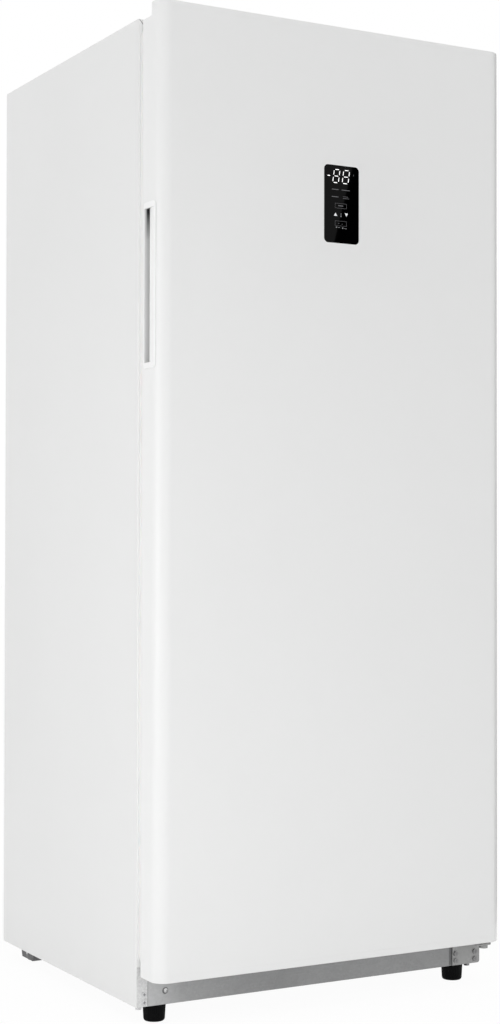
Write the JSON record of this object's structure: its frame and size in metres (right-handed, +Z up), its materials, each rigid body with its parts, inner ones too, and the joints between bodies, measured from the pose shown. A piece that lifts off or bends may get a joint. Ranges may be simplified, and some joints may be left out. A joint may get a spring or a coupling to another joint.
{
  "type": "upright freezer",
  "caption": "Tall white single-door upright freezer with a recessed side grip, a black control window, glass shelves, drawers, door bins and a rear machine room.",
  "frame": {"origin": "centre of the footprint on the floor, under the middle of the whole freezer with its door shut", "axes": "+Z is up, the door faces -Y and its hinge is on the +X side, which is the right-hand side seen from the front"},
  "size_m": [0.711, 0.69, 1.723],
  "materials": {
    "cabinet_paint": "smooth semi-gloss white enamel",
    "door_paint": "smooth semi-gloss white enamel",
    "back_paint": "plain matt grey-white coating",
    "galvanised": "galvanised sheet",
    "bracket_steel": "light grey plated steel",
    "screw_steel": "nickel plated",
    "cap_plastic": "smooth white moulding",
    "handle_plastic": "white moulding",
    "liner_plastic": "vacuum-formed white sheet",
    "foam": "foamed-in insulation",
    "gasket": "soft light grey magnetic seal",
    "display_glass": "black glossy window",
    "board": "moulded box with its circuit",
    "shelf_glass": "tempered clear",
    "trim": "white moulding",
    "clear_plastic": "clear moulded plastic",
    "lamp": "frosted cover",
    "black_plastic": "black moulding",
    "foot": "black moulding",
    "compressor": "black enamelled shell",
    "rubber": "soft black",
    "copper": "copper tube",
    "coil": "black painted tube and fins",
    "aluminium": "bare fins and tube",
    "hinge_plastic": "white moulding",
    "bush": "natural acetal"
  },
  "bodies": {
    "cabinet": {"side_panel_left": "cabinet_paint", "side_panel_right": "cabinet_paint", "top_panel": "cabinet_paint", "back_panel": "back_paint", "bottom_deck": "galvanised", "cabinet_liner": "liner_plastic", "cabinet_foam": "foam", "base_rail_front": "galvanised", "base_rails": "galvanised", "compressor_plate": "galvanised", "lower_hinge_bracket": "bracket_steel", "upper_hinge_plate": "bracket_steel", "hinge_cover": "hinge_plastic", "hinge_pins": "bracket_steel", "duct_cover": "liner_plastic", "evaporator": "aluminium", "evaporator_fan_motor": "black_plastic", "lamp_cover": "lamp", "switch_housing": "trim", "shelf_trims": "trim", "shelf_1": "shelf_glass", "shelf_2": "shelf_glass", "shelf_3": "shelf_glass", "shelf_4": "shelf_glass", "compressor_grommets": "rubber", "compressor": "compressor", "evaporation_pan": "black_plastic", "condenser_coil": "coil", "condenser_fan_motor": "galvanised", "refrigerant_tubes": "copper", "rear_cover": "galvanised", "mains_inlet": "black_plastic", "roller_brackets": "galvanised", "roller_axles": "screw_steel", "case_screws": "screw_steel"},
    "door": {"door_skin": "door_paint", "door_cap_top": "cap_plastic", "door_cap_bottom": "cap_plastic", "door_handle": "handle_plastic", "display_glass": "display_glass", "display_board": "board", "door_liner": "liner_plastic", "door_foam": "foam", "door_gasket": "gasket", "hinge_bushes": "bush", "door_bin_1": "clear_plastic", "door_bin_2": "clear_plastic", "door_bin_3": "clear_plastic", "door_bin_4": "clear_plastic"},
    "drawer_lower": {"drawer_lower": "clear_plastic"},
    "drawer_upper": {"drawer_upper": "clear_plastic"},
    "switch_plunger": {"switch_plunger": "trim"},
    "evaporator_fan": {"evaporator_fan": "black_plastic"},
    "condenser_fan": {"condenser_fan": "black_plastic"},
    "foot_left": {"foot_left": "foot", "stud_left": "screw_steel"},
    "foot_right": {"foot_right": "foot", "stud_right": "screw_steel"},
    "roller_left": {"roller_left": "black_plastic"},
    "roller_right": {"roller_right": "black_plastic"}
  },
  "joints": [
    {"name": "door_hinge", "type": "hinge", "parent": "cabinet", "child": "door", "pos_m": [0.3395, -0.306, 0.9], "axis": [0, 0, 1], "range_deg": [0, 105]},
    {"name": "drawer_lower_slide", "type": "slide", "parent": "cabinet", "child": "drawer_lower", "axis": [0, -1, 0], "range_m": [0, 0.085]},
    {"name": "drawer_upper_slide", "type": "slide", "parent": "cabinet", "child": "drawer_upper", "axis": [0, -1, 0], "range_m": [0, 0.085]},
    {"name": "switch_press", "type": "slide", "parent": "cabinet", "child": "switch_plunger", "axis": [0, -1, 0], "range_m": [0, 0.006]},
    {"name": "evaporator_fan_spin", "type": "hinge", "parent": "cabinet", "child": "evaporator_fan", "pos_m": [0, 0.227, 0.742], "axis": [0, 1, 0], "continuous": true},
    {"name": "condenser_fan_spin", "type": "hinge", "parent": "cabinet", "child": "condenser_fan", "pos_m": [0.104, 0.231, 0.1255], "axis": [1, 0, 0], "continuous": true},
    {"name": "foot_left_lift", "type": "slide", "parent": "cabinet", "child": "foot_left", "axis": [0, 0, -1], "range_m": [0, 0.0102]},
    {"name": "roller_left_roll", "type": "hinge", "parent": "cabinet", "child": "roller_left", "pos_m": [-0.315, 0.276, 0.014], "axis": [1, 0, 0], "continuous": true},
    {"name": "foot_right_lift", "type": "slide", "parent": "cabinet", "child": "foot_right", "axis": [0, 0, -1], "range_m": [0, 0.0102]},
    {"name": "roller_right_roll", "type": "hinge", "parent": "cabinet", "child": "roller_right", "pos_m": [0.315, 0.276, 0.014], "axis": [1, 0, 0], "continuous": true}
  ],
  "couplings": [
    {"joint": "switch_press", "follows": "door_hinge", "m_per_rad": 0.00325}
  ]
}
